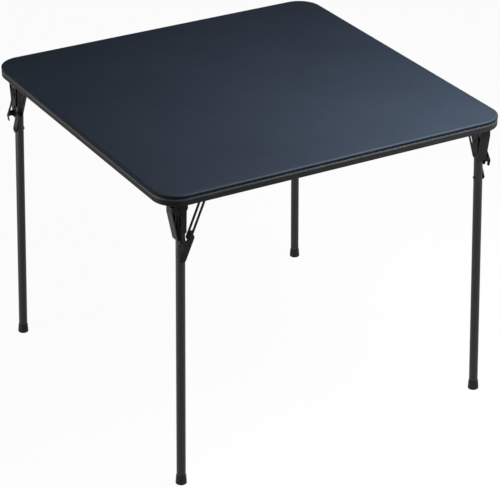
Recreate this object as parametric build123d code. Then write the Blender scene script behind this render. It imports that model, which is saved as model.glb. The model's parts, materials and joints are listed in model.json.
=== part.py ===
"""Square folding card table with four tubular legs that fold flat under the top.

The frame is a bent square tube round a thin board, foam and vinyl top. Each leg hangs on a pin
in a corner bracket and swings sideways along the nearest rail. A two-link elbow brace ties each
leg to that rail, and a small thumb lever sits on the outer side of each leg.

Axes: +Z up, floor at Z = 0, the middle of the table at X = Y = 0, rails parallel to X and Y.
All pieces of one corner are made for the front corner (-X, -Y) and turned about Z in steps of a
quarter turn. In that corner "forward" is +X, the way the leg folds, and "outward" is -Y.
"""
import os
from math import atan2, cos, degrees, hypot, radians, sin

from build123d import *

# Table top, from the vinyl skin down to the board.
top_side = 863.6
top_height = 714.0
top_corner_radius = 57.15
cover_thickness = 1.0
cover_edge_round = 2.2
cover_hem = 14.0
foam_thickness = 2.4
board_thickness = 3.2

# Square tube frame under the top.
frame_tube_size = 19.0
frame_tube_wall = 1.2
frame_tube_round = 4.0
frame_setback = 0.4
frame_seam_gap = 0.6
splice_length = 60.0
splice_wall = 1.2
splice_clearance = 0.1

# Round leg tubes and where they hang.
leg_diameter = 20.6
leg_wall = 1.2
leg_splay_angle = 1.2
leg_top_overrun = 9.0
hinge_drop = 15.4
hinge_to_side_rail = 18.1
hinge_to_end_rail = 36.5

# Rubber foot caps.
cap_height = 21.0
cap_top_diameter = 22.5
cap_bottom_diameter = 25.7
cap_floor = 4.0
cap_round = 2.2
cap_worn_depth = 0.5
cap_clearance = 0.05

# Hinge bracket, corner plate and their screws.
hinge_pin_diameter = 6.0
pin_clearance = 0.05
pin_head_diameter = 10.5
pin_head_height = 1.6
bracket_thickness = 1.8
bracket_width = 22.0
bracket_gap = 0.4
bracket_ear_reach = 14.0
corner_plate_side = 101.7
corner_plate_thickness = 1.6
corner_plate_chamfer = 46.0
corner_plate_weld_gap = 0.1
plate_screw_shares = ((0.14, 0.74), (0.74, 0.14), (0.66, 0.66))
screw_diameter = 3.4
screw_length = 4.2
screw_head_diameter = 7.2
screw_head_height = 2.0
screw_hole_clearance = 0.3
screw_thread_clearance = 0.05
rail_screw_spread_shares = (-0.32, -0.11, 0.11, 0.32)
rail_screw_bite = 2.4

# Folded sheet sleeve round the upper end of the leg.
sleeve_thickness = 1.8
sleeve_clearance = 0.1
sleeve_back_clearance = 0.3
sleeve_length = 75.0
sleeve_front_length = 58.0
sleeve_front_reach = 8.5
sleeve_flare = 26.5
sleeve_flare_top = 4.0
sleeve_flare_bottom = 11.0
sleeve_crown = 11.0
sleeve_crown_shares = ((-0.55, 1.0), (0.35, 1.0), (0.85, 0.45))
sleeve_window_margin = 2.2
sleeve_window_lift = 15.0
rivet_diameter = 4.0
rivet_head_diameter = 6.6
rivet_head_height = 1.2
upper_rivet_drop = 30.0
lower_rivet_lift = 5.0

# Thumb lever and the ears that carry it.
lever_offset = -4.0
lever_top_gap = 1.8
lever_pivot_reach = 4.8
lever_ear_radius = 4.5
lever_ear_thickness = 1.5
lever_side_gap = 0.4
lever_hub_width = 9.2
lever_hub_radius = 3.6
lever_hub_wall = 1.2
lever_neck_width = 6.0
lever_paddle_width = 8.4
lever_thickness = 1.6
lever_reach = 10.4
lever_length = 80.0
lever_line_shares = (
    (-0.36, 0.765),
    (-0.20, 0.665),
    (-0.15, 0.49),
    (0.22, 0.245),
    (0.98, -0.063),
    (0.72, -0.235),
)
lever_bend_radius = 4.0
lever_pin_diameter = 3.0
lever_pin_overrun = 0.8
tongue_drop = 11.0
tongue_round = 3.0

# Two-link brace between the leg and the rail.
lever_to_link_drop = 42.0
rail_pivot_forward = 59.5
rail_pivot_rise = 22.0
upper_link_offset = 3.3
upper_link_thickness = 2.4
upper_link_width = 15.6
upper_link_window_width = 6.2
upper_link_window_margin = 13.0
lower_link_thickness = 1.8
lower_link_width = 16.0
lower_link_gap = 0.5
link_pin_diameter = 5.0
link_pin_head_diameter = 8.4
link_pin_head_height = 1.4
link_pin_play = 0.2
elbow_stud_diameter = 6.4
elbow_head_diameter = 9.0
elbow_head_height = 1.2
elbow_gap = 0.3

# Bent tab that holds the brace's upper end on the rail.
tab_thickness = 1.8
tab_gap = 0.3
tab_radius = 7.5
tab_web_back = 10.0
tab_foot_length = 24.0
tab_foot_height = 11.0
tab_rivet_share = 0.42

# One overrun for every cut.
cut_overrun = 2.0

corner_names = ("front", "right", "back", "left")

# Places worked out from the sizes above.
board_top = top_height - cover_thickness - foam_thickness
board_bottom = board_top - board_thickness
frame_top = board_bottom - cover_thickness
frame_bottom = frame_top - frame_tube_size
frame_middle = (frame_top + frame_bottom) / 2
frame_side = top_side - 2 * frame_setback
frame_corner_radius = top_corner_radius - frame_setback
frame_inner_half = frame_side / 2 - frame_tube_size
frame_line_half = frame_side / 2 - frame_tube_size / 2

hinge_x = hinge_to_end_rail - frame_inner_half
hinge_y = hinge_to_side_rail - frame_inner_half
hinge_height = frame_bottom - hinge_drop
leg_radius = leg_diameter / 2
splay = radians(leg_splay_angle)
leg_length = hinge_height / cos(splay) / cos(splay)

sleeve_inner = leg_radius + sleeve_clearance
sleeve_outer = sleeve_inner + sleeve_thickness
sleeve_back = leg_radius + sleeve_back_clearance + sleeve_thickness
bracket_inner = sleeve_outer + bracket_gap
bracket_outer = bracket_inner + bracket_thickness
sleeve_window_low = sleeve_length - sleeve_window_lift
rivet_drops = (upper_rivet_drop, (sleeve_front_length + sleeve_length) / 2 - lower_rivet_lift)

# The lever's neck ends just under the bracket, and the brace starts a set way below the lever.
lever_pivot_out = sleeve_outer + lever_pivot_reach
lever_pivot_drop = bracket_ear_reach + lever_top_gap + lever_line_shares[0][1] * lever_length
link_pivot_drop = lever_pivot_drop + lever_to_link_drop

upper_link_inner = upper_link_offset - upper_link_thickness / 2
upper_link_outer = upper_link_offset + upper_link_thickness / 2
lower_link_inner = leg_radius + lower_link_gap
lower_link_outer = lower_link_inner + lower_link_thickness
tab_inner = upper_link_outer + tab_gap
tab_outer = tab_inner + tab_thickness

# The brace is straight with the leg down, and its upper link lies level with the leg folded.
link_pivot_x = -link_pivot_drop * sin(splay)
link_pivot_z = -link_pivot_drop * cos(splay)
brace_span = hypot(rail_pivot_forward - link_pivot_x, rail_pivot_rise - link_pivot_z)
brace_lag = rail_pivot_forward - link_pivot_drop
upper_link_length = (brace_span**2 - brace_lag**2 - rail_pivot_rise**2) / (2 * (brace_span + brace_lag))
lower_link_length = brace_span - upper_link_length
brace_direction = (
    (link_pivot_x - rail_pivot_forward) / brace_span,
    (link_pivot_z - rail_pivot_rise) / brace_span,
)
elbow_x = rail_pivot_forward + brace_direction[0] * upper_link_length
elbow_z = rail_pivot_rise + brace_direction[1] * upper_link_length
brace_angle = degrees(atan2(-brace_direction[1], -brace_direction[0]))


def rounded_block(side, radius, low, high):
    """Upright block with a square, round-cornered outline between two heights."""
    outline = Pos(0, 0, low) * RectangleRounded(side, side, radius)
    return extrude(outline, high - low)


def plate(outline, low, high):
    """Sheet in the forward-up plane between two outward distances."""
    return extrude(Plane.XZ.offset(low) * outline, high - low)


def rod(radius, low, high, forward, up):
    """Round bar along the outward direction."""
    return plate(Pos(forward, up) * Circle(radius), low, high)


def headed_pin(radius, head_radius, head_height, low, high, forward, up):
    """Pin with a head beyond each end of its grip, which runs from low to high."""
    shank = rod(radius, low, high, forward, up)
    outer = rod(head_radius, high, high + head_height, forward, up)
    inner = rod(head_radius, low - head_height, low, forward, up)
    outer = fillet(outer.edges().group_by(Axis.Y)[0], head_height / 2)
    inner = fillet(inner.edges().group_by(Axis.Y)[-1], head_height / 2)
    return shank + outer + inner


def bar_outline(length, width):
    """Flat link outline from the origin forward, round about both of its end pivots."""
    return Pos(length / 2, 0) * SlotCenterToCenter(length, width)


def at_hinge(shape):
    """Move a shape from the hinge's own axes to the front corner, tilted outward as the leg is."""
    return Pos(hinge_x, hinge_y, hinge_height) * Rot(-leg_splay_angle, 0, 0) * shape


def on_leg(shape):
    """Move a shape made along a straight leg, with the hinge as its origin, to its place."""
    return at_hinge(Rot(0, leg_splay_angle, 0) * shape)


def around(shape):
    """The shape in all four corners, front, right, back and left."""
    return [Rot(0, 0, 90 * turn) * shape for turn in range(4)]


def save(name, shape):
    """Write one piece."""
    export_step(shape, "parts/" + name + ".step")


def save_corners(name, shape):
    """Write one piece for each corner."""
    for corner, copy in zip(corner_names, around(shape)):
        save(name + "_" + corner, copy)


def screw(seat):
    """Pan head wood screw that points up, with its head under the seat height."""
    shank = Pos(0, 0, seat) * Cylinder(
        screw_diameter / 2, screw_length, align=(Align.CENTER, Align.CENTER, Align.MIN)
    )
    head = Pos(0, 0, seat) * Cylinder(
        screw_head_diameter / 2, screw_head_height, align=(Align.CENTER, Align.CENTER, Align.MAX)
    )
    head = fillet(head.edges().group_by(Axis.Z)[0], screw_head_height / 2)
    return shank + head


def hole(radius, low, high):
    """Upright cutter on the origin between two heights."""
    return Pos(0, 0, low) * Cylinder(radius, high - low, align=(Align.CENTER, Align.CENTER, Align.MIN))


def rail_screw_places():
    """Middle line of the rails, at equal places along each side."""
    places = []
    for turn in range(4):
        for share in rail_screw_spread_shares:
            spot = Rot(0, 0, 90 * turn) * Pos(share * frame_side, -frame_line_half, 0)
            places.append(spot)
    return places


def corner_plate_places():
    """Screws of one corner plate, as distances from the plate's outer corner."""
    start = -frame_inner_half
    return [Pos(start + a * corner_plate_side, start + b * corner_plate_side) for a, b in plate_screw_shares]


def bracket_screw_places():
    """Two screws through the web of one hinge bracket, forward of and inside the hinge."""
    reach = (bracket_width / 2 + bracket_ear_reach) - screw_head_diameter
    aside = bracket_outer + bracket_ear_reach - screw_head_diameter
    return [Pos(hinge_x + reach, hinge_y), Pos(hinge_x, hinge_y + aside)]


def all_board_holes():
    """Blind pilot holes for every screw that bites the board."""
    radius = screw_diameter / 2 + screw_thread_clearance
    rail = hole(radius, board_bottom - cut_overrun, board_bottom + rail_screw_bite)
    holes = [place * rail for place in rail_screw_places()]
    corner_low = board_bottom - corner_plate_thickness
    corner = hole(radius, board_bottom - cut_overrun, corner_low + screw_length)
    for place in corner_plate_places() + bracket_screw_places():
        holes += around(place * corner)
    return holes


def make_cover():
    """Vinyl skin wrapped over the top, round its edge and a short way under the board."""
    inner_side = top_side - 2 * cover_thickness
    inner_radius = top_corner_radius - cover_thickness
    outer = rounded_block(top_side, top_corner_radius, frame_top, top_height)
    outer = fillet(outer.edges().group_by(Axis.Z)[-1], cover_edge_round)
    inner = rounded_block(inner_side, inner_radius, board_bottom, top_height - cover_thickness)
    inner = fillet(inner.edges().group_by(Axis.Z)[-1], cover_edge_round - cover_thickness)
    open_side = inner_side - 2 * cover_hem
    hem_hole = rounded_block(open_side, inner_radius - cover_hem, frame_top - cut_overrun, board_bottom)
    clear = hole(screw_diameter / 2 + screw_hole_clearance, frame_top - cut_overrun, board_bottom)
    return outer - inner - hem_hole - [place * clear for place in rail_screw_places()]


def make_foam():
    """Thin pad that fills the cover over the board."""
    side = top_side - 2 * cover_thickness
    pad = rounded_block(side, top_corner_radius - cover_thickness, board_top, top_height - cover_thickness)
    return fillet(pad.edges().group_by(Axis.Z)[-1], cover_edge_round - cover_thickness)


def make_board():
    """Stiff fibre board under the pad, with pilot holes from below."""
    side = top_side - 2 * cover_thickness
    return rounded_block(side, top_corner_radius - cover_thickness, board_bottom, board_top) - all_board_holes()


def frame_path():
    """Middle line of the bent frame tube, open at the seam in the back left rail."""
    half = frame_line_half
    start = frame_seam_gap / 2
    level = frame_bottom + frame_tube_size / 2
    points = [(start, half), (half, half), (half, -half), (-half, -half), (-half, half), (-start, half)]
    corners = [(x, y, level) for x, y in points]
    return FilletPolyline(*corners, radius=frame_corner_radius - frame_tube_size / 2)


def make_frame():
    """Square tube bent round the table, hollow, with its two ends almost meeting at the seam."""
    path = frame_path()
    start = Plane(origin=path @ 0, x_dir=(0, 1, 0), z_dir=path % 0)
    inner_size = frame_tube_size - 2 * frame_tube_wall
    inner_round = frame_tube_round - frame_tube_wall
    outer = sweep(start * RectangleRounded(frame_tube_size, frame_tube_size, frame_tube_round), path=path)
    inner = sweep(start * RectangleRounded(inner_size, inner_size, inner_round), path=path)
    clear = hole(screw_diameter / 2 + screw_hole_clearance, frame_bottom - cut_overrun, frame_top + cut_overrun)
    tube = outer - inner - [place * clear for place in rail_screw_places()]
    return tube - around(tab_rivet_holes())


def make_splice():
    """Short square tube pressed into both ends of the frame tube at the seam."""
    outer_size = frame_tube_size - 2 * frame_tube_wall - 2 * splice_clearance
    outer_round = frame_tube_round - frame_tube_wall - splice_clearance
    inner_size = outer_size - 2 * splice_wall
    inner_round = outer_round - splice_wall
    middle = (0, frame_line_half, frame_bottom + frame_tube_size / 2)
    section = Plane(origin=middle, x_dir=(0, 1, 0), z_dir=(1, 0, 0))
    outer = RectangleRounded(outer_size, outer_size, outer_round)
    inner = RectangleRounded(inner_size, inner_size, inner_round)
    return extrude(section * (outer - inner), splice_length / 2, both=True)


def make_corner_plate():
    """Flat plate under the board in the frame's corner, welded to both rails."""
    side = corner_plate_side
    outer = -frame_inner_half
    rise = frame_tube_round - (frame_top - board_bottom + corner_plate_thickness)
    reach = frame_tube_round - (frame_tube_round**2 - rise**2) ** 0.5 - corner_plate_weld_gap
    low = outer - reach
    high = outer + side
    cut = corner_plate_chamfer
    outline = Polyline((low, low), (high, low), (high, high - cut), (high - cut, high), (low, high), close=True)
    sheet = extrude(make_face(outline), corner_plate_thickness)
    inner_radius = frame_corner_radius - frame_tube_size + reach
    edges = sheet.edges().filter_by(Axis.Z).sort_by_distance((low, low, 0))
    sheet = fillet(edges[0], inner_radius)
    sheet = Pos(0, 0, board_bottom - corner_plate_thickness) * sheet
    clear = hole(screw_diameter / 2 + screw_hole_clearance, frame_bottom, board_bottom + cut_overrun)
    places = corner_plate_places() + bracket_screw_places()
    return sheet - [place * clear for place in places]


def make_hinge_bracket():
    """Folded bracket: a web screwed under the corner plate and two cheeks that hold the pin."""
    web_top = board_bottom - corner_plate_thickness
    rise = web_top - hinge_height
    half = bracket_width / 2
    cheek = Circle(half) + Pos(0, rise / 2) * Rectangle(bracket_width, rise)
    cheeks = plate(cheek, bracket_inner, bracket_outer) + plate(cheek, -bracket_outer, -bracket_inner)
    bore = rod(hinge_pin_diameter / 2 + pin_clearance, -bracket_outer, bracket_outer, 0, 0)
    cheeks = at_hinge(cheeks - bore)
    lean = rise * sin(splay)
    front = bracket_width + bracket_ear_reach
    wide = Box(front, 2 * bracket_outer, bracket_thickness, align=(Align.MIN, Align.CENTER, Align.MAX))
    deep = Box(
        bracket_width,
        bracket_outer + bracket_ear_reach,
        bracket_thickness,
        align=(Align.MIN, Align.MIN, Align.MAX),
    )
    web = Pos(hinge_x - half, hinge_y - lean, web_top) * wide
    web += Pos(hinge_x - half, hinge_y, web_top) * deep
    clear = hole(screw_diameter / 2 + screw_hole_clearance, frame_bottom, board_bottom)
    above = Pos(hinge_x, hinge_y, web_top) * Box(
        2 * front, 2 * front, front, align=(Align.CENTER, Align.CENTER, Align.MIN)
    )
    return cheeks - above + web - [place * clear for place in bracket_screw_places()]


def make_hinge_pin():
    """Riveted pin that the leg swings on."""
    pin = headed_pin(
        hinge_pin_diameter / 2,
        pin_head_diameter / 2,
        pin_head_height,
        -bracket_outer,
        bracket_outer,
        0,
        0,
    )
    return at_hinge(pin)


def make_corner_screws():
    """Screws of the corner plates and of the hinge brackets."""
    plate_seat = board_bottom - corner_plate_thickness
    bracket_seat = plate_seat - bracket_thickness
    screws = []
    for place in corner_plate_places():
        screws += around(place * screw(plate_seat))
    for place in bracket_screw_places():
        screws += around(place * screw(bracket_seat))
    return screws


def make_rail_screws():
    """Screws that pass up through the rails into the board."""
    grip = board_bottom + rail_screw_bite - frame_bottom
    shank = hole(screw_diameter / 2, frame_bottom, frame_bottom + grip)
    head = Pos(0, 0, frame_bottom) * Cylinder(
        screw_head_diameter / 2, screw_head_height, align=(Align.CENTER, Align.CENTER, Align.MAX)
    )
    head = fillet(head.edges().group_by(Axis.Z)[0], screw_head_height / 2)
    return [place * (shank + head) for place in rail_screw_places()]


def make_leg_tube():
    """Straight round tube with cross holes for the hinge pin, the rivets and the brace pin."""
    length = leg_length - cap_floor + leg_top_overrun
    place = Pos(0, 0, leg_top_overrun)
    align = (Align.CENTER, Align.CENTER, Align.MAX)
    tube = place * Cylinder(leg_radius, length, align=align)
    tube -= place * Cylinder(leg_radius - leg_wall, length, align=align)
    tube -= rod(hinge_pin_diameter / 2 + pin_clearance, -bracket_outer, bracket_outer, 0, 0)
    tube -= rod(link_pin_diameter / 2 + pin_clearance, -bracket_outer, bracket_outer, 0, -link_pivot_drop)
    for drop in rivet_drops:
        tube -= rod(rivet_diameter / 2 + pin_clearance, -bracket_outer, bracket_outer, 0, -drop)
    return on_leg(tube)


def make_foot_cap():
    """Tapered rubber cap pushed over the tube's end, with its underside level on the floor."""
    bottom = -leg_length - cap_worn_depth
    top = bottom + cap_worn_depth + cap_height
    outline = Polyline(
        (0, bottom), (cap_bottom_diameter / 2, bottom), (cap_top_diameter / 2, top), (0, top), close=True
    )
    cap = revolve(Plane.XZ * make_face(outline), Axis.Z)
    cap = fillet(cap.edges().group_by(Axis.Z)[0], cap_round)
    seat = cap_floor - leg_length
    socket = Pos(0, 0, seat) * Cylinder(
        leg_radius + cap_clearance, cap_height, align=(Align.CENTER, Align.CENTER, Align.MIN)
    )
    below = Box(top_side, top_side, cap_height, align=(Align.CENTER, Align.CENTER, Align.MAX))
    return on_leg(cap - socket) - below


def sleeve_outline():
    """Side view of the sleeve's cheeks, flared backward near the hinge."""
    points = [
        (-sleeve_back, -sleeve_length),
        (-sleeve_flare, -sleeve_flare_bottom),
        (-sleeve_flare, sleeve_flare_top),
    ]
    points += [(a * sleeve_crown, b * sleeve_crown) for a, b in sleeve_crown_shares]
    points.append((sleeve_front_reach, -sleeve_front_length))
    return make_face(Polyline(*points, close=True))


def sleeve_window():
    """Triangular window between the leg and the flared back of the sleeve."""
    near = leg_radius + sleeve_window_margin
    run = (sleeve_flare - sleeve_back) / (sleeve_length - sleeve_flare_bottom)
    inset = sleeve_thickness + sleeve_window_margin / 2
    low_back = sleeve_back + run * (sleeve_length - sleeve_window_low) - inset
    reach = sleeve_flare - inset
    low = -sleeve_window_low
    if low_back < near:
        low = -sleeve_window_low + (near - low_back) / run
    outline = Polyline(
        (-near, low),
        (-near, -sleeve_flare_bottom),
        (-reach, -sleeve_flare_bottom),
        close=True,
    )
    return make_face(outline)


def make_sleeve():
    """U-shaped sheet sleeve with a window in each cheek and two ears for the thumb lever."""
    cheek = sleeve_outline() - sleeve_window()
    sleeve = plate(cheek, sleeve_inner, sleeve_outer) + plate(cheek, -sleeve_outer, -sleeve_inner)
    wall = sleeve_thickness
    back = Polyline(
        (-sleeve_back, -sleeve_length),
        (-sleeve_flare, -sleeve_flare_bottom),
        (-sleeve_flare, sleeve_flare_top),
        (wall - sleeve_flare, sleeve_flare_top),
        (wall - sleeve_flare, -sleeve_flare_bottom),
        (wall - sleeve_back, -sleeve_length),
        close=True,
    )
    sleeve += plate(make_face(back), -sleeve_outer, sleeve_outer)
    sleeve += lever_tongue() + lever_ears()
    sleeve -= rod(hinge_pin_diameter / 2 + pin_clearance, -bracket_outer, bracket_outer, 0, 0)
    for drop in rivet_drops:
        sleeve -= rod(rivet_diameter / 2 + pin_clearance, -bracket_outer, bracket_outer, 0, -drop)
    return on_leg(sleeve)


def ear_half_span():
    """Half the distance over the two lever ears."""
    return lever_hub_width / 2 + lever_side_gap + lever_ear_thickness


def lever_tongue():
    """Outer cheek's tongue that runs down to carry the lever ears."""
    low = -lever_pivot_drop - tongue_drop
    high = -sleeve_front_length
    width = 2 * ear_half_span()
    outline = Pos(lever_offset, (low + high) / 2) * Rectangle(width, high - low)
    outline = fillet(outline.vertices().group_by(Axis.Y)[0], tongue_round)
    return plate(outline, sleeve_inner, sleeve_outer)


def across(outline, low, high):
    """Sheet in the outward-up plane, between two forward distances from the lever's middle."""
    plane = Plane(origin=(lever_offset + low, 0, -lever_pivot_drop), x_dir=(0, -1, 0), z_dir=(-1, 0, 0))
    return extrude(plane * outline, low - high)


def lever_ears():
    """Two ears bent outward from the tongue, with holes for the lever's pin."""
    out = lever_pivot_out
    ear = Pos(out, 0) * Circle(lever_ear_radius)
    strap = out - sleeve_inner
    ear += Pos(out - strap / 2, 0) * Rectangle(strap, 2 * lever_ear_radius)
    ear -= Pos(out, 0) * Circle(lever_pin_diameter / 2 + pin_clearance)
    outer = ear_half_span()
    inner = outer - lever_ear_thickness
    return across(ear, inner, outer) + across(ear, -outer, -inner)


def make_lever():
    """Bent sheet thumb lever: a narrow neck, a rounded paddle and two side flanges for its pin."""
    out = lever_pivot_out
    points = [(out + a * lever_reach, b * lever_length) for a, b in lever_line_shares]
    strip = trace(FilletPolyline(*points, radius=lever_bend_radius), line_width=lever_thickness)
    half = lever_paddle_width / 2
    strip = across(strip, -half, half)
    strip &= lever_front()
    flange = Pos(out, 0) * Circle(lever_hub_radius)
    shoulder = lever_line_shares[3]
    heel = lever_line_shares[4]
    high = (out + shoulder[0] * lever_reach, shoulder[1] * lever_length)
    low = (out + heel[0] * lever_reach, heel[1] * lever_length)
    top = (high[0] / 2 + low[0] / 2, high[1] / 2 + low[1] / 2)
    flange += make_face(
        Polyline((out - lever_hub_radius, 0), top, low, (out, -lever_hub_radius), close=True)
    )
    flange -= Pos(out, 0) * Circle(lever_pin_diameter / 2 + pin_clearance)
    wide = lever_hub_width / 2
    flanges = across(flange, wide - lever_hub_wall, wide) + across(flange, -wide, lever_hub_wall - wide)
    return on_leg(strip + flanges)


def lever_front():
    """Front view of the lever: parallel neck, wider paddle with a round lower end."""
    neck = lever_neck_width / 2
    paddle = lever_paddle_width / 2
    tip = lever_line_shares[0][1] * lever_length + lever_thickness
    shoulder = lever_line_shares[3][1] * lever_length
    foot = lever_line_shares[-1][1] * lever_length
    outline = Polyline(
        (neck, tip), (neck, shoulder), (paddle, 0), (paddle, foot + paddle),
        (-paddle, foot + paddle), (-paddle, 0), (-neck, shoulder), (-neck, tip), close=True,
    )
    face = make_face(outline) + Pos(0, foot + paddle) * Circle(paddle)
    reach = lever_pivot_out + 2 * lever_reach
    return Pos(lever_offset, 0, -lever_pivot_drop) * plate(face, 0, reach)


def make_lever_pin():
    """Small pin through both lever ears."""
    half = ear_half_span() + lever_pin_overrun
    pin = Pos(lever_pivot_out, 0) * Circle(lever_pin_diameter / 2)
    return on_leg(across(pin, -half, half))


def make_leg_rivets():
    """Rivets that hold the sleeve on the tube."""
    rivets = []
    for drop in rivet_drops:
        rivet = headed_pin(
            rivet_diameter / 2,
            rivet_head_diameter / 2,
            rivet_head_height,
            -sleeve_outer,
            sleeve_outer,
            0,
            -drop,
        )
        rivets.append(on_leg(rivet))
    return rivets


def make_link_pin():
    """Pin through the tube that the lower link turns on."""
    pin = headed_pin(
        link_pin_diameter / 2,
        link_pin_head_diameter / 2,
        link_pin_head_height,
        -leg_radius,
        lower_link_outer + link_pin_play,
        0,
        -link_pivot_drop,
    )
    return on_leg(pin)


def make_lower_link():
    """Flat link on the leg's outer side, with a shouldered stud at the elbow."""
    link = plate(bar_outline(lower_link_length, lower_link_width), lower_link_inner, lower_link_outer)
    link -= rod(link_pin_diameter / 2 + pin_clearance, lower_link_inner, lower_link_outer, 0, 0)
    stud_end = upper_link_outer + elbow_gap
    link += rod(elbow_stud_diameter / 2, stud_end, lower_link_outer, lower_link_length, 0)
    head_top = lower_link_outer + elbow_head_height
    head = rod(elbow_head_diameter / 2, lower_link_outer, head_top, lower_link_length, 0)
    link += fillet(head.edges().group_by(Axis.Y)[0], elbow_head_height / 2)
    return at_hinge(Pos(link_pivot_x, 0, link_pivot_z) * Rot(0, -brace_angle, 0) * link)


def make_upper_link():
    """Flat link with a long window, from the elbow up to the tab on the rail."""
    outline = bar_outline(upper_link_length, upper_link_width)
    window = upper_link_length - 2 * upper_link_window_margin
    outline -= Pos(upper_link_length / 2, 0) * SlotOverall(window, upper_link_window_width)
    outline -= Circle(elbow_stud_diameter / 2 + pin_clearance)
    outline -= Pos(upper_link_length, 0) * Circle(link_pin_diameter / 2 + pin_clearance)
    link = plate(outline, upper_link_inner, upper_link_outer)
    return at_hinge(Pos(elbow_x, 0, elbow_z) * Rot(0, -brace_angle, 0) * link)


def tab_foot_middle():
    """Forward place of the tab's rivet on the rail."""
    return hinge_x + rail_pivot_forward - tab_web_back - tab_rivet_share * tab_foot_length


def tab_rivet_holes():
    """Cutter for the rivet hole in the rail's inner wall, front corner."""
    cutter = rod(rivet_diameter / 2 + pin_clearance, -frame_tube_wall, frame_tube_wall, 0, 0)
    return Pos(tab_foot_middle(), -frame_inner_half, frame_middle) * cutter


def make_rail_tab():
    """Bent strip riveted to the rail, whose ear carries the brace's upper end."""
    ear = Circle(tab_radius)
    ear += Pos(-tab_web_back / 2, 0) * Rectangle(tab_web_back, 2 * tab_radius)
    ear -= Circle(link_pin_diameter / 2 + pin_clearance)
    ear = Pos(rail_pivot_forward, 0, rail_pivot_rise) * plate(ear, tab_inner, tab_outer)
    ear = at_hinge(ear)
    web_x = hinge_x + rail_pivot_forward - tab_web_back
    level = hinge_height + rail_pivot_rise
    rail = -frame_inner_half
    lean = rail_pivot_rise * sin(splay)
    web_deep = hinge_to_side_rail - (tab_inner + tab_outer) / 2 + lean
    corner = (Align.MAX, Align.MIN, Align.CENTER)
    web = Pos(web_x + tab_thickness, rail, level) * Box(tab_thickness, web_deep, 2 * tab_radius, align=corner)
    foot = Box(tab_foot_length, tab_thickness, tab_foot_height, align=corner)
    foot = Pos(web_x + tab_thickness, rail, frame_middle) * foot
    place = Pos(tab_foot_middle(), rail, frame_middle)
    deep = -tab_thickness - cut_overrun
    bore = place * rod(rivet_diameter / 2 + pin_clearance, deep, cut_overrun, 0, 0)
    return ear + web + foot - bore


def make_tab_pin():
    """Headed pin through the tab's ear and the upper link."""
    pin = headed_pin(
        link_pin_diameter / 2,
        link_pin_head_diameter / 2,
        link_pin_head_height,
        upper_link_inner - link_pin_play,
        tab_outer,
        rail_pivot_forward,
        rail_pivot_rise,
    )
    return at_hinge(pin)


def make_tab_rivet():
    """Rivet that holds the tab's foot against the rail's inner wall."""
    rivet = headed_pin(
        rivet_diameter / 2,
        rivet_head_diameter / 2,
        rivet_head_height,
        -tab_thickness,
        frame_tube_wall,
        0,
        0,
    )
    return Pos(tab_foot_middle(), -frame_inner_half, frame_middle) * rivet


def main():
    """Make and write every piece of the table."""
    os.makedirs("parts", exist_ok=True)
    save("vinyl_cover", make_cover())
    save("foam_pad", make_foam())
    save("top_board", make_board())
    save("frame_tube", make_frame())
    save("frame_splice", make_splice())
    save("hinge_pins", Compound(around(make_hinge_pin())))
    save("tab_pins", Compound(around(make_tab_pin())))
    save("tab_rivets", Compound(around(make_tab_rivet())))
    save("corner_screws", Compound(make_corner_screws()))
    save("rail_screws", Compound(make_rail_screws()))
    save_corners("corner_plate", make_corner_plate())
    save_corners("hinge_bracket", make_hinge_bracket())
    save_corners("rail_tab", make_rail_tab())
    save_corners("leg_tube", make_leg_tube())
    save_corners("foot_cap", make_foot_cap())
    save_corners("leg_sleeve", make_sleeve())
    save_corners("leg_rivets", Compound(make_leg_rivets()))
    save_corners("link_pin", make_link_pin())
    save_corners("lower_link", make_lower_link())
    save_corners("upper_link", make_upper_link())
    save_corners("thumb_lever", make_lever())
    save_corners("lever_pin", make_lever_pin())


main()
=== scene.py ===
"""Studio scene of a square folding card table with a padded vinyl top and tubular legs.

The table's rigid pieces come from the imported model. This script dresses them in their finishes,
replaces the soft top by a modelled vinyl cover over its pad, replaces the plain screws by pan
heads with a cross recess, and sets up the floor, the lights and the camera.
"""
from __future__ import annotations

import json
import logging
import math
from dataclasses import dataclass, field
from enum import Enum
from typing import Union

import bmesh
import bpy
from mathutils import Matrix, Vector

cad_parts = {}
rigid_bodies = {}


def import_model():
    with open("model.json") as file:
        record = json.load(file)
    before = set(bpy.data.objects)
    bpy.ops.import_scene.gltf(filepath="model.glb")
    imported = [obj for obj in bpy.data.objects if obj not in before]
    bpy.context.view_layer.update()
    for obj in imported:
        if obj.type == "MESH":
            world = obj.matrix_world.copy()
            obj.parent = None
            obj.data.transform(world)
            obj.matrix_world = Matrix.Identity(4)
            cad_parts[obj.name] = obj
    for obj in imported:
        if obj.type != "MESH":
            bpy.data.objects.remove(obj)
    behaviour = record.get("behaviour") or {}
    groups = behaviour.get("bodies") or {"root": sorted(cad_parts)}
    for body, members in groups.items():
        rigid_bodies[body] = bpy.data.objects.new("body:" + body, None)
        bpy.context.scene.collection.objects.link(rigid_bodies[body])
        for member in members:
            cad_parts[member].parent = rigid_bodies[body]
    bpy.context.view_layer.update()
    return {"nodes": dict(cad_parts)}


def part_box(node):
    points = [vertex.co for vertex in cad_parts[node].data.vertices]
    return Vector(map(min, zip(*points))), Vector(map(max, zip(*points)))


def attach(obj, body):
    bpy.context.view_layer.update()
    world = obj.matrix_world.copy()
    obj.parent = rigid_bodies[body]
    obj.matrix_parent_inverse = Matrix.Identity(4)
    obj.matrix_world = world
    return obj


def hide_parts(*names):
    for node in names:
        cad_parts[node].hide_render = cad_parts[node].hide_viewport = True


LOG = logging.getLogger("card_table")
Pair = tuple[float, float]
Colour = tuple[float, float, float]
Socket = bpy.types.NodeSocket
Feed = Union[bpy.types.NodeSocket, float, tuple]
WHITE: Colour = (1.0, 1.0, 1.0)
UPWARD = Vector((0.0, 0.0, 1.0))


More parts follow.
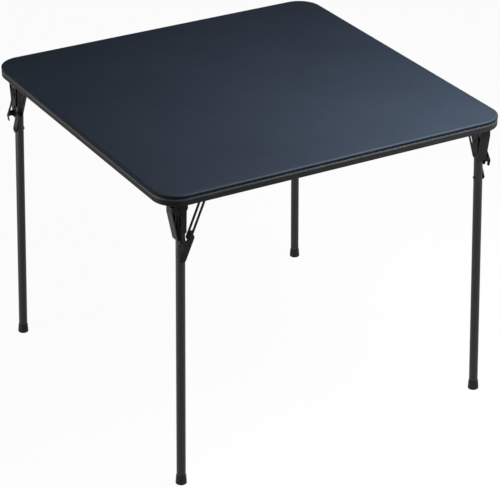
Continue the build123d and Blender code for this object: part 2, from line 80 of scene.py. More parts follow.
class Corner(Enum):
    """The four corners of the table, with the quarter turns from the front one."""

    FRONT = 0
    RIGHT = 1
    BACK = 2
    LEFT = 3

    @property
    def word(self) -> str:
        """The corner's name as the CAD nodes spell it."""
        return self.name.lower()

    @property
    def turn(self) -> Matrix:
        """The turn about the upright axis that brings the front corner here."""
        return Matrix.Rotation(self.value * math.pi / 2, 4, "Z")


class Slot(Enum):
    """The record's material slots for this scene's own pieces; this script gives no piece a slot.
    """

    VINYL = "vinyl"
    FOAM = "foam"
    STEEL = "steel"


class Coat(Enum):
    """The finishes that a piece can be dressed in."""

    VINYL = "vinyl"
    FRAME = "frame paint"
    LEG = "leg paint"
    BRACKET = "bracket paint"
    STEEL = "plated steel"
    RUBBER = "rubber"
    BOARD = "board"
    FOAM = "foam"


@dataclass(frozen=True)
class Noise:
    """Cloudy pattern: its waves in a metre, its octaves and the weight of the finer ones."""

    scale: float
    detail: float = 3.0
    rough: float = 0.5


@dataclass(frozen=True)
class Pebbles:
    """Rounded cells, as in a pressed grain: how many lie in a metre, and their softness."""

    scale: float
    softness: float = 0.6


@dataclass(frozen=True)
class Relief:
    """One bump of a surface: its pattern, its strength and its depth in metres."""

    pattern: Noise | Pebbles
    strength: float
    depth: float


@dataclass(frozen=True)
class HeightBand:
    """How a finish changes with the height, such as painted shade down a rim or a painted
    highlight along an edge.

    The change starts and ends at these depths under the piece's top. The tones and gleams are
    the shares of the finish's own ones that are left below the change and above it.
    """

    start: float
    end: float
    tones: Pair
    gleams: Pair


class NodeSheet:
    """A shader's node tree, with short calls to add nodes and to join them."""

    def __init__(self, owner: bpy.types.ID, output: str) -> None:
        """Start an empty tree with its output node.

        Args:
            owner: the material or the world that the tree belongs to.
            output: type of its output node.
        """
        owner.use_nodes = True
        self.tree = owner.node_tree
        self.tree.nodes.clear()
        self.output = self.add(output)

    def feed(self, target: Socket, source: Feed) -> None:
        """Join a socket to an input, or set the input's value.

        Args:
            target: the input.
            source: the socket to join to it, or a plain number or colour.
        """
        if isinstance(source, Socket):
            self.tree.links.new(source, target)
        else:
            target.default_value = source

    def fill(self, node: bpy.types.Node, feeds: dict[int | str, Feed]) -> bpy.types.Node:
        """Feed several inputs of a node.

        Args:
            node: the node.
            feeds: the socket or the value for each input, by its name or number.

        Returns:
            The same node.
        """
        for key, source in feeds.items():
            self.feed(node.inputs[key], source)
        return node

    def add(self, kind: str, feeds: dict[int | str, Feed] | None = None) -> bpy.types.Node:
        """Add a node.

        Args:
            kind: its type.
            feeds: the socket or the value for each input that differs from the usual.

        Returns:
            The node.
        """
        return self.fill(self.tree.nodes.new(kind), feeds or {})

    def combine(self, operation: str, first: Feed, second: Feed) -> Socket:
        """Combine two values.

        Args:
            operation: how, in Blender's word.
            first: the first value.
            second: the second value.

        Returns:
            The result's socket.
        """
        node = self.tree.nodes.new("ShaderNodeMath")
        node.operation = operation
        return self.fill(node, {0: first, 1: second}).outputs[0]

    def blend(self, share: Socket, first: Socket, second: Socket) -> Socket:
        """Mix two shaders.

        Args:
            share: share of the second one.
            first: the first shader.
            second: the second shader.

        Returns:
            The mixed shader's socket.
        """
        return self.add("ShaderNodeMixShader", {0: share, 1: first, 2: second}).outputs[0]

    def seen_rays(self) -> Socket:
        """Pick the rays that see the surround: camera, glossy and transmission.

        Returns:
            A socket that is 1 for those rays.
        """
        rays = self.add("ShaderNodeLightPath").outputs
        seen = rays["Is Camera Ray"]
        for name in ("Is Glossy Ray", "Is Transmission Ray"):
            seen = self.combine("MAXIMUM", seen, rays[name])
        return seen


class FinishSheet(NodeSheet):
    """The material of a finish, with calls for the patterns and changes on its surface."""

    noise_span: Pair = (0.3, 0.7)
    tone_stops: Pair = (0.32, 0.68)
    edge_samples: int = 8

    def __init__(self, name: str) -> None:
        """Start a material with a surface shader.

        Args:
            name: the material's name.
        """
        self.material = bpy.data.materials.new(name)
        super().__init__(self.material, "ShaderNodeOutputMaterial")
        self.shader = self.add("ShaderNodeBsdfPrincipled")
        self.feed(self.output.inputs["Surface"], self.shader.outputs["BSDF"])
        self.place = self.add("ShaderNodeTexCoord").outputs["Object"]

    def pattern(self, pattern: Noise | Pebbles) -> Socket:
        """Lay a pattern over the piece.

        Args:
            pattern: which one.

        Returns:
            The socket of its value.
        """
        feeds = {"Vector": self.place, "Scale": pattern.scale}
        if isinstance(pattern, Pebbles):
            node = self.tree.nodes.new("ShaderNodeTexVoronoi")
            node.feature = "SMOOTH_F1"
            return self.fill(node, feeds | {"Smoothness": pattern.softness}).outputs["Distance"]
        feeds |= {"Detail": pattern.detail, "Roughness": pattern.rough}
        return self.add("ShaderNodeTexNoise", feeds).outputs["Fac"]

    def climb(self, value: Socket, span: Pair, ends: Pair) -> Socket:
        """Carry a value over from one range to another, and hold it at the ends.

        Args:
            value: the value's socket.
            span: where in its range the change starts and ends.
            ends: the results there.

        Returns:
            The result's socket.
        """
        feeds = {"Value": value, "From Min": span[0], "From Max": span[1]}
        feeds |= {"To Min": ends[0], "To Max": ends[1]}
        return self.add("ShaderNodeMapRange", feeds).outputs["Result"]

    def tint(self, mottle: Noise, dark: Colour, pale: Colour) -> None:
        """Colour the surface between two tones.

        Args:
            mottle: noise that chooses the tone.
            dark: tone at its low end.
            pale: tone at its high end.
        """
        ramp = self.add("ShaderNodeValToRGB", {"Fac": self.pattern(mottle)})
        for stop, place, tone in zip(ramp.color_ramp.elements, self.tone_stops, (dark, pale)):
            stop.position = place
            stop.color = (*tone, 1.0)
        self.feed(self.shader.inputs["Base Color"], ramp.outputs["Color"])

    def shade_band(self, band: HeightBand, top: float) -> None:
        """Scale the surface's tone and its specular level by height, the tone as painted light and
        shade.

        Args:
            band: the change.
            top: level of the piece's top, in metres.
        """
        height = self.add("ShaderNodeSeparateXYZ", {0: self.place}).outputs["Z"]
        span = (top - band.start, top - band.end)
        colour = self.shader.inputs["Base Color"]
        scaled = self.tree.nodes.new("ShaderNodeVectorMath")
        scaled.operation = "SCALE"
        # Painted light and shade: the tone is scaled between the band's shares by height.
        tone = self.climb(height, span, band.tones)
        self.fill(scaled, {0: colour.links[0].from_socket, "Scale": tone})
        self.feed(colour, scaled.outputs[0])
        gleam = self.shader.inputs["Specular IOR Level"]
        before = gleam.links[0].from_socket if gleam.links else gleam.default_value
        share = self.climb(height, span, band.gleams)
        self.feed(gleam, self.combine("MULTIPLY", before, share))

    def bump(self, relief: tuple[Relief, ...], edge_round: float) -> None:
        """Stack bumps on the surface.

        Args:
            relief: the bumps, the lowest first.
            edge_round: radius by which edges look rounded under the bumps, or 0.
        """
        normal = None
        if edge_round > 0.0:
            node = self.add("ShaderNodeBevel", {"Radius": edge_round})
            node.samples = self.edge_samples
            normal = node.outputs["Normal"]
        for item in relief:
            feeds = {"Strength": item.strength, "Distance": item.depth}
            feeds["Height"] = self.pattern(item.pattern)
            if normal is not None:
                feeds["Normal"] = normal
            normal = self.add("ShaderNodeBump", feeds).outputs["Normal"]
        if normal is not None:
            self.feed(self.shader.inputs["Normal"], normal)


@dataclass(frozen=True, kw_only=True)
class Finish:
    """What a finish consists of, from its tones to its relief.

    The mottle chooses between the dark and the pale tone, and the sheen between the two ends of
    the roughness. A finish without a sheen has the first of them all over. The bands need the
    level of the piece's top.
    """

    name: str
    dark: Colour
    pale: Colour
    mottle: Noise
    rough: Pair
    sheen: Noise | None = None
    gleam: float = 0.5
    gleam_tint: Colour = WHITE
    metal: float = 0.0
    relief: tuple[Relief, ...] = ()
    edge_round: float = 0.0
    bands: tuple[HeightBand, ...] = ()
    top: float = 0.0

    def make(self) -> bpy.types.Material:
        """Build the finish's material.

        Returns:
            The material.
        """
        sheet = FinishSheet(self.name)
        sheet.tint(self.mottle, self.dark, self.pale)
        rough = self.rough[0]
        if self.sheen is not None:
            rough = sheet.climb(sheet.pattern(self.sheen), sheet.noise_span, self.rough)
        sheet.fill(sheet.shader, {
            "Roughness": rough,
            "Metallic": self.metal,
            "Specular IOR Level": self.gleam,
            "Specular Tint": (*self.gleam_tint, 1.0),
        })
        for band in self.bands:
            sheet.shade_band(band, self.top)
        sheet.bump(self.relief, self.edge_round)
        return sheet.material


@dataclass(frozen=True, kw_only=True)
class VinylSkin(Finish):
    """Soft, finely grained vinyl of the table top, duller down its rolled rim, where painted shade
    darkens it.
    """

    name: str = "vinyl_skin"
    dark: Colour = (0.0142, 0.0186, 0.0275)
    pale: Colour = (0.0168, 0.0216, 0.0315)
    mottle: Noise = Noise(5.0, 4.0)
    rough: Pair = (0.54, 0.59)
    sheen: Noise = Noise(38.0, 4.0)
    gleam: float = 0.25
    gleam_tint: Colour = (0.70, 0.86, 1.0)
    relief: tuple[Relief, ...] = (
        Relief(Noise(7.0, 1.0), 0.1, 0.0004),
        Relief(Pebbles(760.0), 0.3, 0.0001),
        Relief(Noise(2100.0, 2.0), 0.2, 0.00005),
    )
    # Painted shade: the rim's tone drops to 0.55 below the roll's start, and its gleam drops too.
    bands: tuple[HeightBand, ...] = (
        HeightBand(start=0.0038, end=0.0014, tones=(0.55, 1.0), gleams=(0.12, 1.0)),
    )


@dataclass(frozen=True, kw_only=True)
class PaintedSteel(Finish):
    """Baked paint on steel, with a faint orange-peel surface and small dull scuffs."""

    mottle: Noise = Noise(24.0, 5.0, 0.6)
    sheen: Noise = Noise(70.0, 6.0, 0.65)
    relief: tuple[Relief, ...] = (
        Relief(Noise(420.0), 0.22, 0.00005),
        Relief(Noise(1500.0, 2.0), 0.12, 0.00003),
    )


@dataclass(frozen=True, kw_only=True)
class FramePaint(PaintedSteel):
    """Paint of the frame tube, with a painted highlight and more gleam along its upper edge, and
    painted shade in the groove above.
    """

    name: str = "frame_paint"
    dark: Colour = (0.0145, 0.0148, 0.0158)
    pale: Colour = (0.0200, 0.0203, 0.0213)
    rough: Pair = (0.34, 0.44)
    gleam: float = 0.30
    edge_round: float = 0.009
    bands: tuple[HeightBand, ...] = (
        # Painted highlight: the tone rises to 1.2 along the tube's upper edge.
        HeightBand(start=0.0066, end=0.0044, tones=(1.0, 1.2), gleams=(0.10, 1.0)),
        # Painted shade: the tone drops to 0.45 in the groove under the cover.
        HeightBand(start=0.0026, end=0.0012, tones=(1.0, 0.45), gleams=(1.0, 0.25)),
    )


@dataclass(frozen=True, kw_only=True)
class LegPaint(PaintedSteel):
    """Paint of the legs, darker than the frame's."""

    name: str = "leg_paint"
    dark: Colour = (0.0065, 0.0065, 0.0069)
    pale: Colour = (0.0090, 0.0089, 0.0092)
    rough: Pair = (0.40, 0.47)
    gleam: float = 0.30


@dataclass(frozen=True, kw_only=True)
class BracketPaint(PaintedSteel):
    """Dull paint of the corners' hardware, from the plates to the levers and their pins."""

    name: str = "bracket_paint"
    dark: Colour = (0.0070, 0.0070, 0.0074)
    pale: Colour = (0.0105, 0.0105, 0.0110)
    rough: Pair = (0.33, 0.46)
    gleam: float = 0.10


@dataclass(frozen=True, kw_only=True)
class PlatedSteel(Finish):
    """Zinc-plated steel of the screws, the tab pins and rivets, and the splice."""

    name: str = "plated_steel"
    dark: Colour = (0.20, 0.20, 0.205)
    pale: Colour = (0.30, 0.30, 0.31)
    mottle: Noise = Noise(210.0, 5.0, 0.6)
    rough: Pair = (0.3, 0.48)
    sheen: Noise = Noise(330.0, 4.0)
    metal: float = 0.85
    relief: tuple[Relief, ...] = (Relief(Noise(900.0), 0.2, 0.00004),)


@dataclass(frozen=True, kw_only=True)
class CapRubber(Finish):
    """Moulded rubber of the foot caps, a little dusty."""

    name: str = "cap_rubber"
    dark: Colour = (0.0048, 0.0048, 0.0050)
    pale: Colour = (0.0085, 0.0085, 0.0088)
    mottle: Noise = Noise(60.0, 5.0, 0.6)
    rough: Pair = (0.55, 0.72)
    sheen: Noise = Noise(150.0, 4.0)
    gleam: float = 0.2
    relief: tuple[Relief, ...] = (Relief(Noise(1300.0), 0.35, 0.00008),)


@dataclass(frozen=True, kw_only=True)
class FibreBoard(Finish):
    """Pressed fibre board, seen from below."""

    name: str = "fibre_board"
    dark: Colour = (0.060, 0.038, 0.022)
    pale: Colour = (0.108, 0.072, 0.043)
    mottle: Noise = Noise(320.0, 8.0, 0.72)
    rough: Pair = (0.72, 0.72)
    gleam: float = 0.3
    relief: tuple[Relief, ...] = (
        Relief(Pebbles(340.0), 0.25, 0.00015),
        Relief(Noise(1100.0, 6.0, 0.7), 0.4, 0.0001),
    )


@dataclass(frozen=True, kw_only=True)
class PadFoam(Finish):
    """Open-cell foam between the cover and the board."""

    name: str = "pad_foam"
    dark: Colour = (0.30, 0.27, 0.20)
    pale: Colour = (0.42, 0.39, 0.31)
    mottle: Noise = Noise(120.0, 5.0)
    rough: Pair = (0.95, 0.95)
    gleam: float = 0.1
    relief: tuple[Relief, ...] = (Relief(Pebbles(900.0), 0.6, 0.0003),)


@dataclass(frozen=True, kw_only=True)
class BlackCloth(Finish):
    """Matt black cloth of the studio's panel."""

    name: str = "black_cloth"
    dark: Colour = (0.004, 0.004, 0.004)
    pale: Colour = (0.008, 0.008, 0.008)
    mottle: Noise = Noise(40.0)
    rough: Pair = (0.9, 0.9)
    gleam: float = 0.0


class Wardrobe:
    """Every finish of the table, made once and handed out."""

    def __init__(self) -> None:
        """Make the materials."""
        finishes = {
            Coat.VINYL: VinylSkin(top=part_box("vinyl_cover")[1].z),
            Coat.FRAME: FramePaint(top=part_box("frame_tube")[1].z),
            Coat.LEG: LegPaint(),
            Coat.BRACKET: BracketPaint(),
            Coat.STEEL: PlatedSteel(),
            Coat.RUBBER: CapRubber(),
            Coat.BOARD: FibreBoard(),
            Coat.FOAM: PadFoam(),
        }
        self.materials = {coat: finish.make() for coat, finish in finishes.items()}

    def dress(self, piece: bpy.types.Object, coat: Coat) -> None:
        """Put one finish on a piece, in place of what it has.

        Args:
            piece: a CAD node's object or one of this script's own.
            coat: the finish.
        """
        piece.data.materials.clear()
        piece.data.materials.append(self.materials[coat])


def new_piece(name: str, mesh: bmesh.types.BMesh, smooth_angle: float = 35.0) -> bpy.types.Object:
    """Turn a finished bmesh into an object at the origin.

    Args:
        name: the piece's name.
        mesh: its shape in the table's own frame, which is freed here.
        smooth_angle: edges sharper than this stay crisp, in degrees.

    Returns:
        The linked object.
    """
    data = bpy.data.meshes.new(name)
    mesh.to_mesh(data)
    mesh.free()
    piece = bpy.data.objects.new(name, data)
    bpy.context.scene.collection.objects.link(piece)
    data.shade_smooth()
    data.set_sharp_from_angle(angle=math.radians(smooth_angle))
    return piece


def rounded_square(half: float, radius: float, height: float, steps: int) -> bmesh.types.BMesh:
    """One square face with round corners.

    Args:
        half: half its side, in metres.
        radius: corner radius.
        height: its level.
        steps: faces round each corner.

    Returns:
        A bmesh with that face only.
    """
    mesh = bmesh.new()
    bmesh.ops.create_grid(
        mesh, x_segments=1, y_segments=1, size=half, matrix=Matrix.Translation((0, 0, height))
    )
    bmesh.ops.bevel(
        mesh,
        geom=list(mesh.verts),
        offset=radius,
        offset_type="OFFSET",
        segments=steps,
        profile=0.5,
        affect="VERTICES",
        material=-1,
    )
    return mesh


def border_edges(mesh: bmesh.types.BMesh) -> list[bmesh.types.BMEdge]:
    """The edges that only one face uses."""
    return [edge for edge in mesh.edges if len(edge.link_faces) == 1]


def widest_face(mesh: bmesh.types.BMesh) -> bmesh.types.BMFace:
    """The face with the largest area."""
    return max(mesh.faces, key=lambda face: face.calc_area())


def add_rod(
    mesh: bmesh.types.BMesh, radius: float, length: float, sides: int, middle: float
) -> None:
    """Add an upright rod with closed ends to a shape.

    Args:
        mesh: the shape.
        radius: the rod's radius, in metres.
        length: its length.
        sides: how many faces it has round it.
        middle: level of its middle.
    """
    bmesh.ops.create_cone(
        mesh,
        cap_ends=True,
        segments=sides,
        radius1=radius,
        radius2=radius,
        depth=length,
        matrix=Matrix.Translation((0, 0, middle)),
    )


def stand(across: Vector, above: Vector, outward: Vector, place: Vector) -> Matrix:
    """Matrix that turns the x, y and z axes to three directions and moves to a place.

    Args:
        across: where the x axis goes.
        above: where the y axis goes.
        outward: where the z axis goes.
        place: where the origin goes.

    Returns:
        The 4 by 4 matrix.
    """
    matrix = Matrix((across, above, outward)).transposed().to_4x4()
    matrix.translation = place
    return matrix


@dataclass
class PaddedTop:
    """Vinyl cover stretched over a thin pad, rolled round the edge and tucked under the board.

    The skin's room is shared between the vinyl and a gap over the pad. The flat top is cut into
    rings at steps from its edge, and its points nearer to the roll than crown_edge lie lower by
    the crown. The hem's fold has one point between its ends, at the share hem_bend of its round.
    """

    wardrobe: Wardrobe
    board: bpy.types.Object
    half_side: float = 0.4318
    corner_radius: float = 0.05715
    corner_steps: int = 18
    crown: float = 0.0003
    crown_edge: float = 0.002
    top_rings: tuple[float, ...] = (0.03, 0.09, 0.16)
    skin: float = 0.001
    vinyl_share: float = 0.9
    gap_share: float = 0.1
    roll_width: float = 0.0065
    roll_depth: float = 0.0040
    roll_steps: int = 9
    hem: float = 0.014
    hem_round: float = 0.0007
    hem_bend: float = 0.3
    smooth_angle: float = 60.0
    top: float = field(init=False)
    bottom: float = field(init=False)

    def __post_init__(self) -> None:
        """Read the cover's levels from the CAD solid."""
        low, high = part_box("vinyl_cover")
        self.top = high.z
        self.bottom = low.z

    def flat_top(self, level: float) -> bmesh.types.BMesh:
        """The flat face inside the roll.

        Args:
            level: its height.

        Returns:
            A bmesh with that face only.
        """
        half = self.half_side - self.roll_width
        return rounded_square(half, self.corner_radius - self.roll_width, level, self.corner_steps)

    def ring_down(self, mesh: bmesh.types.BMesh, inset: float, level: float) -> None:
        """Extrude the open border to another outline and level.

        Args:
            mesh: the growing skin.
            inset: distance of the new outline inside the table's edge.
            level: its height.
        """
        grown = bmesh.ops.extrude_edge_only(mesh, edges=border_edges(mesh))
        verts = [item for item in grown["geom"] if isinstance(item, bmesh.types.BMVert)]
        half = self.half_side - inset
        current = max(abs(vert.co.x) for vert in verts)
        core = self.half_side - self.corner_radius
        share = (half - core) / (current - core)
        for vert in verts:
            middle = Vector((
                math.copysign(min(abs(vert.co.x), core), vert.co.x),
                math.copysign(min(abs(vert.co.y), core), vert.co.y),
                0.0,
            ))
            reach = Vector((vert.co.x, vert.co.y, 0.0)) - middle
            vert.co = middle + reach * share
            vert.co.z = level

    def roll_over(self, mesh: bmesh.types.BMesh, inset: float, level: float, depth: float) -> None:
        """Extrude the open border over a quarter round.

        Args:
            mesh: the growing skin, whose border is a roll's width inside the table's edge.
            inset: distance of the last outline inside that edge.
            level: height of the roll's start.
            depth: drop of the roll.
        """
        width = self.roll_width - inset
        for step in range(1, self.roll_steps + 1):
            turn = math.pi / 2 * step / self.roll_steps
            drop = depth * (1.0 - math.cos(turn))
            self.ring_down(mesh, inset + width * (1.0 - math.sin(turn)), level - drop)

    def make_cover(self) -> bpy.types.Object:
        """Model the vinyl skin and put it in place of the plain one.

        Returns:
            The cover.
        """
        mesh = self.flat_top(self.top)
        for ring in self.top_rings:
            bmesh.ops.inset_region(
                mesh, faces=[widest_face(mesh)], thickness=ring, depth=0.0, use_even_offset=False
            )
        for vert in mesh.verts:
            inside = self.half_side - self.roll_width - max(abs(vert.co.x), abs(vert.co.y))
            if inside < self.crown_edge:
                vert.co.z -= self.crown
        bend = self.hem_round * self.hem_bend
        self.roll_over(mesh, 0.0, self.top - self.crown, self.roll_depth)
        self.ring_down(mesh, 0.0, self.bottom + self.hem_round)
        self.ring_down(mesh, bend, self.bottom + bend)
        self.ring_down(mesh, self.hem_round, self.bottom)
        self.ring_down(mesh, self.hem, self.bottom)
        bmesh.ops.recalc_face_normals(mesh, faces=list(mesh.faces))
        # The skin is open below, so its flat top tells which way its faces point.
        if widest_face(mesh).normal.z < 0:
            bmesh.ops.reverse_faces(mesh, faces=list(mesh.faces))
        cover = new_piece("padded_cover", mesh, self.smooth_angle)
        shell = cover.modifiers.new("skin", "SOLIDIFY")
        shell.thickness = self.skin * self.vinyl_share
        shell.offset = -1.0
        shell.use_even_offset = True
        self.wardrobe.dress(cover, Coat.VINYL)
        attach(cover, "table")
        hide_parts("vinyl_cover")
        return cover

    def make_pad(self) -> bpy.types.Object:
        """Model the thin foam pad under the skin, rounded over at its edge as the skin is.

        Returns:
            The pad.
        """
        low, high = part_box("foam_pad")
        gap = self.skin * self.gap_share
        rise = high.z - low.z - 2 * gap - self.crown
        level = low.z + gap + rise
        mesh = self.flat_top(level)
        self.roll_over(mesh, self.skin + gap, level, rise)
        bmesh.ops.edgeloop_fill(mesh, edges=border_edges(mesh))
        bmesh.ops.recalc_face_normals(mesh, faces=list(mesh.faces))
        pad = new_piece("foam_layer", mesh, self.smooth_angle)
        self.wardrobe.dress(pad, Coat.FOAM)
        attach(pad, "table")
        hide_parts("foam_pad")
        return pad

    def build(self) -> list[bpy.types.Object]:
        """Make the cover and the pad, and dress the board.

        Returns:
            The three pieces.
        """
        self.wardrobe.dress(self.board, Coat.BOARD)
        return [self.make_cover(), self.make_pad(), self.board]


@dataclass
class PanHeadScrews:
    """Pan head screws with a cross recess, under the rails and under the corner plates.

    A head's lower edge is rounded over round_share of its height, and the shank starts a hair
    over the head, so that they share no face. The rail shares are places along a rail's length
    from its middle. The plate shares are places on a corner plate, across and along it from its
    outer corner. Two more screws go through each hinge bracket, beside the hinge.
    """

    wardrobe: Wardrobe
    head_radius: float = 0.0036
    head_height: float = 0.002
    head_sides: int = 24
    round_share: float = 0.55
    round_steps: int = 4
    recess_radius: float = 0.0021
    recess_width: float = 0.0008
    recess_depth: float = 0.0011
    shank_radius: float = 0.0016
    shank_sides: int = 16
    shank_gap: float = 0.00002
    rail_shank: float = 0.0222
    plate_shank: float = 0.004
    turn_step: float = 0.7
    smooth_angle: float = 40.0
    frame_half: float = 0.4314
    rail_line: float = 0.4219
    rail_shares: tuple[float, ...] = (-0.32, -0.11, 0.11, 0.32)
    plate_start: float = 0.4124
    plate_side: float = 0.1017
    plate_shares: tuple[Pair, ...] = ((0.14, 0.74), (0.74, 0.14), (0.66, 0.66))
    hinge: Pair = (-0.3759, -0.3943)
    bracket_reach: float = 0.0178
    bracket_aside: float = 0.0212
    bracket_sheet: float = 0.0018

    def head(self) -> bmesh.types.BMesh:
        """One screw's head, rounded below, with its seat at the origin.

        Returns:
            The shape.
        """
        mesh = bmesh.new()
        height = self.head_height
        add_rod(mesh, self.head_radius, height, self.head_sides, -height / 2)
        bmesh.ops.bevel(
            mesh,
            geom=[e for e in mesh.edges if all(v.co.z < -height / 2 for v in e.verts)],
            offset=height * self.round_share,
            segments=self.round_steps,
            profile=0.5,
            affect="EDGES",
            material=-1,
        )
        return mesh

    def recess(self) -> bpy.types.Object:
        """Cross-shaped cutter for the head's lower face.

        Returns:
            The cutter.
        """
        mesh = bmesh.new()
        size = (2 * self.recess_radius, self.recess_width, 2 * self.recess_depth, 1.0)
        for turn in (0.0, math.pi / 2):
            place = (
                Matrix.Translation((0, 0, -self.head_height))
                @ Matrix.Rotation(turn, 4, "Z")
                @ Matrix.Diagonal(size)
            )
            bmesh.ops.create_cube(mesh, size=1.0, matrix=place)
        return new_piece("recess", mesh)

    def screw_mesh(self, shank: float) -> bpy.types.Mesh:
        """A screw with its recess cut.

        Args:
            shank: its length over the seat.

        Returns:
            The mesh data, seat at the origin.
        """
        piece = new_piece("screw_blank", self.head(), self.smooth_angle)
        cutter = self.recess()
        cut = piece.modifiers.new("recess", "BOOLEAN")
        cut.operation = "DIFFERENCE"
        cut.solver = "EXACT"
        cut.use_self = True
        cut.object = cutter
        graph = bpy.context.evaluated_depsgraph_get()
        graph.update()
        data = bpy.data.meshes.new_from_object(piece.evaluated_get(graph))
        bpy.data.objects.remove(piece)
        bpy.data.objects.remove(cutter)
        mesh = bmesh.new()
        mesh.from_mesh(data)
        add_rod(mesh, self.shank_radius, shank, self.shank_sides, shank / 2 + self.shank_gap)
        mesh.to_mesh(data)
        mesh.free()
        return data

    def spread(
        self, name: str, node: str, data: bpy.types.Mesh, spots: list[Vector]
    ) -> bpy.types.Object:
        """Copy a screw to every spot as one piece that stands for a CAD node.

        Args:
            name: the new piece's name.
            node: the CAD node it replaces.
            data: the screw.
            spots: the seats' places.

        Returns:
            The piece.
        """
        mesh = bmesh.new()
        for index, spot in enumerate(spots):
            start = len(mesh.verts)
            mesh.from_mesh(data)
            mesh.verts.ensure_lookup_table()
            turned = Matrix.Translation(spot) @ Matrix.Rotation(self.turn_step * index, 4, "Z")
            bmesh.ops.transform(mesh, matrix=turned, verts=mesh.verts[start:])
        piece = new_piece(name, mesh, self.smooth_angle)
        self.wardrobe.dress(piece, Coat.STEEL)
        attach(piece, "table")
        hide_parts(node)
        return piece

    def build(self) -> list[bpy.types.Object]:
        """Make both groups of screws.

        Returns:
            The two pieces.
        """
        rail_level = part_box("frame_tube")[0].z
        plate_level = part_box("corner_plate_front")[0].z
        bracket_level = plate_level - self.bracket_sheet
        x, y = self.hinge
        rail = [
            Vector((share * 2 * self.frame_half, -self.rail_line, rail_level))
            for share in self.rail_shares
        ]
        plate = [
            Vector((*(share * self.plate_side - self.plate_start for share in pair), plate_level))
            for pair in self.plate_shares
        ]
        plate.append(Vector((x + self.bracket_reach, y, bracket_level)))
        plate.append(Vector((x, y + self.bracket_aside, bracket_level)))
        rails = [corner.turn @ seat for corner in Corner for seat in rail]
        plates = [corner.turn @ seat for corner in Corner for seat in plate]
        long_screw = self.screw_mesh(self.rail_shank)
        short_screw = self.screw_mesh(self.plate_shank)
        return [
            self.spread("rail_screw_heads", "rail_screws", long_screw, rails),
            self.spread("plate_screw_heads", "corner_screws", short_screw, plates),
        ]


@dataclass
class MetalWork:
    """Frame, brackets, legs and braces, which keep their CAD shapes and get their finishes.

    A cornered node is there once for each corner, with the corner's word at its name's end.
    """

    wardrobe: Wardrobe
    nodes: dict[str, bpy.types.Object]
    single: dict[str, Coat] = field(default_factory=lambda: {
        "frame_tube": Coat.FRAME,
        "frame_splice": Coat.STEEL,
        "hinge_pins": Coat.BRACKET,
        "tab_pins": Coat.STEEL,
        "tab_rivets": Coat.STEEL,
    })
    cornered: dict[str, Coat] = field(default_factory=lambda: {
        "corner_plate": Coat.BRACKET,
        "hinge_bracket": Coat.BRACKET,
        "rail_tab": Coat.BRACKET,
        "leg_tube": Coat.LEG,
        "foot_cap": Coat.RUBBER,
        "leg_sleeve": Coat.BRACKET,
        "leg_rivets": Coat.BRACKET,
        "link_pin": Coat.BRACKET,
        "lever_pin": Coat.BRACKET,
        "lower_link": Coat.BRACKET,
        "upper_link": Coat.BRACKET,
        "thumb_lever": Coat.BRACKET,
    })

    def build(self) -> list[bpy.types.Object]:
        """Dress every kept CAD node.

        Returns:
            The dressed pieces.
        """
        coats = dict(self.single)
        for corner in Corner:
            for stem, coat in self.cornered.items():
                coats[f"{stem}_{corner.word}"] = coat
        for name, coat in coats.items():
            self.wardrobe.dress(self.nodes[name], coat)
        return [self.nodes[name] for name in coats]


@dataclass(frozen=True)
class SoftBox:
    """A soft lamp that faces the table: its place, its width and height, and its watts."""

    name: str
    place: tuple[float, float, float]
    size: Pair
    power: float
    tint: Colour = WHITE

    def hang(self, aim: Vector) -> bpy.types.Object:
        """Hang the lamp, unseen by the camera.

        Args:
            aim: the point that it faces.

        Returns:
            The lamp.
        """
        data = bpy.data.lights.new(self.name, "AREA")
        data.shape = "RECTANGLE"
        data.size, data.size_y = self.size
        data.energy = self.power
        data.color = self.tint
        lamp = bpy.data.objects.new(self.name, data)
        lamp.visible_camera = False
        lamp.location = self.place
        lamp.rotation_mode = "QUATERNION"
        lamp.rotation_quaternion = (aim - Vector(self.place)).to_track_quat("-Z", "Y")
        bpy.context.scene.collection.objects.link(lamp)
        return lamp


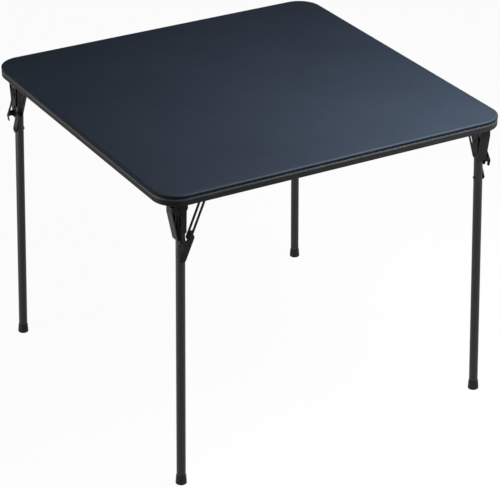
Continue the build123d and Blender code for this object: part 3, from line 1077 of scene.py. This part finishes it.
@dataclass
class Studio:
    """Pale floor, white surround, soft lamps, a black panel and the photograph's camera.

    The key lamp hangs over the near right part of the top, with a weaker soft box at each side,
    and all face the point lamp_aim over the floor's middle. The flag is the black panel. It
    stands at its distance behind the table's middle, and its edge is how far its right end lies
    to the right of that. Angles are in degrees, and the lens and the sensor in millimetres.
    """

    floor_half: float = 14.0
    floor_cells: int = 4
    floor_white: float = 0.86
    floor_glow_share: float = 0.955
    world_fill: float = 0.16
    lamp_aim: float = 0.6
    lamps: tuple[SoftBox, ...] = (
        SoftBox("key_box", (0.53, -0.68, 1.4), (0.9, 0.9), 33.0, (0.90, 0.96, 1.0)),
        SoftBox("left_box", (-1.9, 0.35, 0.4), (0.9, 0.7), 19.0),
        SoftBox("right_box", (2.3, -1.6, 0.9), (1.0, 1.2), 5.0),
    )
    flag_distance: float = 1.9
    flag_edge: float = 3.0
    flag_width: float = 11.0
    flag_low: float = 0.75
    flag_high: float = 4.4
    azimuth: float = -29.887
    elevation: float = 27.024
    roll: float = 0.171
    distance: float = 5.12809
    shift_right: float = 0.015977
    shift_up: float = -0.041658
    look_height: float = 0.36
    lens: float = 156.30
    sensor: float = 36.0
    clip: Pair = (0.05, 60.0)

    def build_floor(self) -> bpy.types.Object:
        """Large pale floor that is clear from below.

        The rays that see it get a plain white glow for the most part, and the matt rest carries
        the table's soft shadow.

        Returns:
            The floor.
        """
        mesh = bmesh.new()
        cells = self.floor_cells
        bmesh.ops.create_grid(mesh, x_segments=cells, y_segments=cells, size=self.floor_half)
        floor = new_piece("studio_floor", mesh)
        material = bpy.data.materials.new("floor_white")
        sheet = NodeSheet(material, "ShaderNodeOutputMaterial")
        matt = sheet.add("ShaderNodeBsdfDiffuse", {"Color": (*(self.floor_white,) * 3, 1.0)})
        glow = sheet.add("ShaderNodeEmission", {"Strength": 1.0})
        share = sheet.combine("MULTIPLY", sheet.seen_rays(), self.floor_glow_share)
        above = sheet.blend(share, matt.outputs[0], glow.outputs[0])
        below = sheet.add("ShaderNodeNewGeometry").outputs["Backfacing"]
        clear = sheet.add("ShaderNodeBsdfTransparent").outputs[0]
        sheet.feed(sheet.output.inputs["Surface"], sheet.blend(below, above, clear))
        floor.data.materials.append(material)
        return floor

    def build_world(self) -> None:
        """White surround that lights the object softly."""
        world = bpy.data.worlds.new("studio")
        bpy.context.scene.world = world
        sheet = NodeSheet(world, "ShaderNodeOutputWorld")
        fill, seen = (
            sheet.add("ShaderNodeBackground", {"Color": (*WHITE, 1.0), "Strength": strength})
            for strength in (self.world_fill, 1.0)
        )
        both = sheet.blend(sheet.seen_rays(), fill.outputs[0], seen.outputs[0])
        sheet.feed(sheet.output.inputs["Surface"], both)

    def build_flag(self) -> bpy.types.Object:
        """Black panel behind the table that keeps the left part of the glossy top dark.

        Returns:
            The panel, which is seen in reflections only.
        """
        turn = math.radians(self.azimuth)
        away = Vector((-math.sin(turn), math.cos(turn), 0.0))
        side = Vector((math.cos(turn), math.sin(turn), 0.0))
        middle = (
            away * self.flag_distance
            + side * (self.flag_edge - self.flag_width / 2)
            + Vector((0, 0, (self.flag_low + self.flag_high) / 2))
        )
        place = stand(side, UPWARD, side.cross(UPWARD), middle)
        size = Matrix.Diagonal((self.flag_width, self.flag_high - self.flag_low, 1.0, 1.0))
        mesh = bmesh.new()
        bmesh.ops.create_grid(mesh, x_segments=1, y_segments=1, size=0.5, matrix=place @ size)
        flag = new_piece("black_flag", mesh)
        flag.data.materials.append(BlackCloth().make())
        flag.visible_camera = False
        flag.visible_diffuse = False
        flag.visible_shadow = False
        return flag

    def build_camera(self) -> bpy.types.Object:
        """Camera at the photograph's viewing angle.

        Returns:
            The camera.
        """
        turn, rise, roll = (math.radians(v) for v in (self.azimuth, self.elevation, self.roll))
        level = math.cos(rise)
        back = Vector((math.sin(turn) * level, -math.cos(turn) * level, math.sin(rise)))
        right = UPWARD.cross(back).normalized()
        up = back.cross(right)
        place = (
            Vector((0, 0, self.look_height))
            + right * self.shift_right
            + up * self.shift_up
            + back * self.distance
        )
        across = right * math.cos(roll) + up * math.sin(roll)
        above = up * math.cos(roll) - right * math.sin(roll)
        data = bpy.data.cameras.new("photo_camera")
        data.lens = self.lens
        data.sensor_width = self.sensor
        data.sensor_fit = "HORIZONTAL"
        data.clip_start, data.clip_end = self.clip
        camera = bpy.data.objects.new("photo_camera", data)
        camera.matrix_world = stand(across, above, back, place)
        bpy.context.scene.collection.objects.link(camera)
        bpy.context.scene.camera = camera
        return camera

    def build(self) -> list[bpy.types.Object]:
        """Set up everything round the table.

        Returns:
            The floor, the lamps, the black panel and the camera.
        """
        bpy.context.scene.view_settings.view_transform = "Standard"
        floor = self.build_floor()
        self.build_world()
        lamps = [lamp.hang(Vector((0.0, 0.0, self.lamp_aim))) for lamp in self.lamps]
        return [floor, *lamps, self.build_flag(), self.build_camera()]


def clear_start_scene() -> None:
    """Remove what a new Blender file holds."""
    for item in list(bpy.data.objects):
        bpy.data.objects.remove(item)


def log_pieces(group: str, pieces: list[bpy.types.Object]) -> None:
    """Log each piece of a group."""
    for piece in pieces:
        LOG.info("%s: %s", group, piece.name)


def main() -> None:
    """Load the frame, set up the studio, and make and dress the table's pieces."""
    logging.basicConfig(level=logging.INFO, format="%(message)s")
    clear_start_scene()
    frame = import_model()
    log_pieces("studio", Studio().build())
    wardrobe = Wardrobe()
    log_pieces("padded top", PaddedTop(wardrobe, frame["nodes"]["top_board"]).build())
    log_pieces("screws", PanHeadScrews(wardrobe).build())
    log_pieces("metal work", MetalWork(wardrobe, frame["nodes"]).build())


if __name__ == "__main__":
    main()
